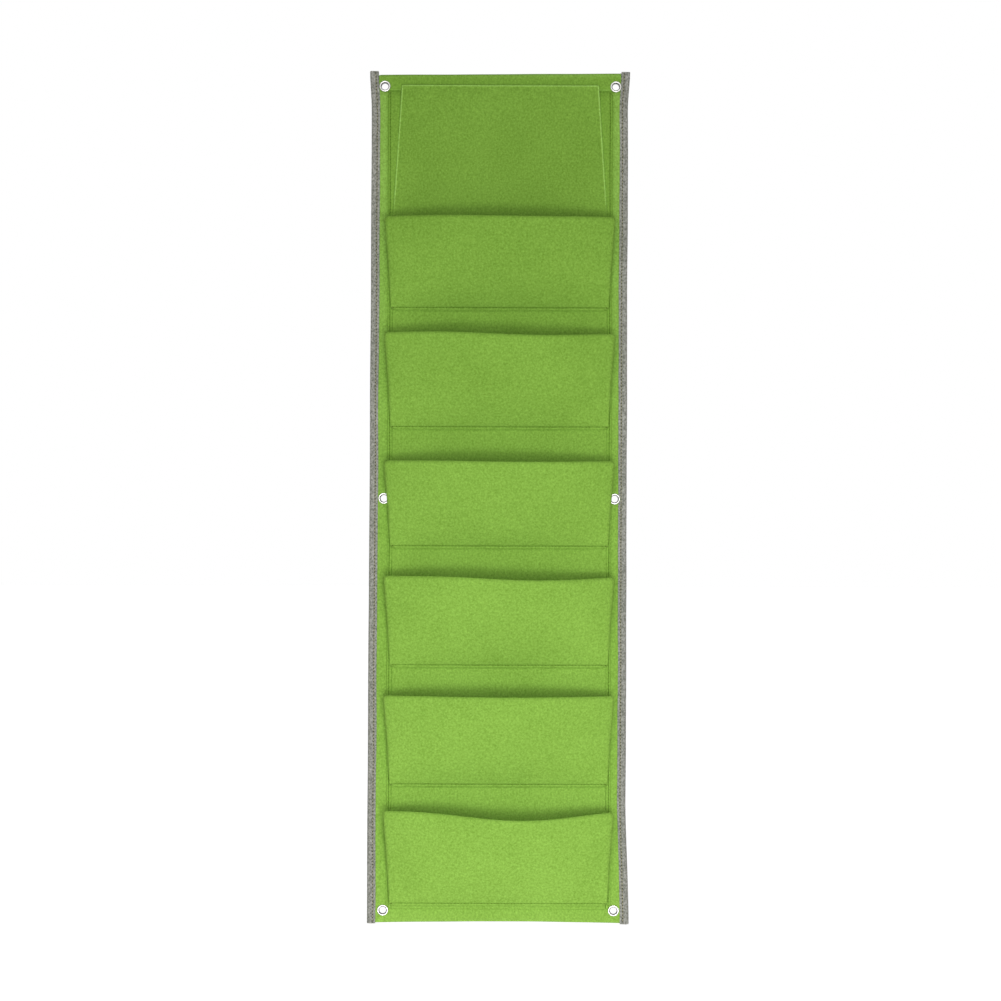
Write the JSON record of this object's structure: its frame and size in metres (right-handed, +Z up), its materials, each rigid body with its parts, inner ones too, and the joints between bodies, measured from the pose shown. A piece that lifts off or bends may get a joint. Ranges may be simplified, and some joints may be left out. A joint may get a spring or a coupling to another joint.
{
  "type": "felt wall planter",
  "caption": "Tall felt hanging with gaping felt pockets one above another, taped side edges and metal eyelets, for growing plants on a wall.",
  "frame": {"origin": "midway between the two top eyelets, on the plane where the planter touches the wall", "axes": "+X to the right of someone facing the planter, +Y into the wall, +Z up"},
  "size_m": [0.304, 0.055, 1],
  "materials": {
    "felt": "matte needle-punched felt, leaf green",
    "tape": "matte mottled grey felt tape",
    "nickel": "bright nickel-plated"
  },
  "bodies": {
    "backing": {"back_panel": "felt", "facing_panel": "felt", "left_strip": "felt", "right_strip": "felt", "pocket_foot_1": "felt", "gusset_left_1": "felt", "gusset_right_1": "felt", "pocket_foot_2": "felt", "gusset_left_2": "felt", "gusset_right_2": "felt", "pocket_foot_3": "felt", "gusset_left_3": "felt", "gusset_right_3": "felt", "pocket_foot_4": "felt", "gusset_left_4": "felt", "gusset_right_4": "felt", "pocket_foot_5": "felt", "gusset_left_5": "felt", "gusset_right_5": "felt", "pocket_foot_6": "felt", "gusset_left_6": "felt", "gusset_right_6": "felt", "left_binding": "tape", "right_binding": "tape", "eyelet_top_left": "nickel", "washer_top_left": "nickel", "eyelet_top_right": "nickel", "washer_top_right": "nickel", "eyelet_middle_left": "nickel", "washer_middle_left": "nickel", "eyelet_middle_right": "nickel", "washer_middle_right": "nickel", "eyelet_bottom_left": "nickel", "washer_bottom_left": "nickel", "eyelet_bottom_right": "nickel", "washer_bottom_right": "nickel"},
    "pocket_1": {"pocket_front_1": "felt"},
    "pocket_2": {"pocket_front_2": "felt"},
    "pocket_3": {"pocket_front_3": "felt"},
    "pocket_4": {"pocket_front_4": "felt"},
    "pocket_5": {"pocket_front_5": "felt"},
    "pocket_6": {"pocket_front_6": "felt"}
  },
  "joints": [
    {"name": "pocket_1_fold", "type": "hinge", "parent": "backing", "child": "pocket_1", "pos_m": [0, -0.0088, -0.2605], "axis": [-1, 0, 0], "range_deg": [0, 11.5], "deforming": ["gusset_left_1", "gusset_right_1"]},
    {"name": "pocket_2_fold", "type": "hinge", "parent": "backing", "child": "pocket_2", "pos_m": [0, -0.0088, -0.4], "axis": [-1, 0, 0], "range_deg": [0, 11.5], "deforming": ["gusset_left_2", "gusset_right_2"]},
    {"name": "pocket_3_fold", "type": "hinge", "parent": "backing", "child": "pocket_3", "pos_m": [0, -0.0088, -0.5395], "axis": [-1, 0, 0], "range_deg": [0, 11.5], "deforming": ["gusset_left_3", "gusset_right_3"]},
    {"name": "pocket_4_fold", "type": "hinge", "parent": "backing", "child": "pocket_4", "pos_m": [0, -0.0088, -0.679], "axis": [-1, 0, 0], "range_deg": [0, 11.5], "deforming": ["gusset_left_4", "gusset_right_4"]},
    {"name": "pocket_5_fold", "type": "hinge", "parent": "backing", "child": "pocket_5", "pos_m": [0, -0.0088, -0.8185], "axis": [-1, 0, 0], "range_deg": [0, 11.5], "deforming": ["gusset_left_5", "gusset_right_5"]},
    {"name": "pocket_6_fold", "type": "hinge", "parent": "backing", "child": "pocket_6", "pos_m": [0, -0.0088, -0.958], "axis": [-1, 0, 0], "range_deg": [0, 11.5], "deforming": ["gusset_left_6", "gusset_right_6"]}
  ]
}
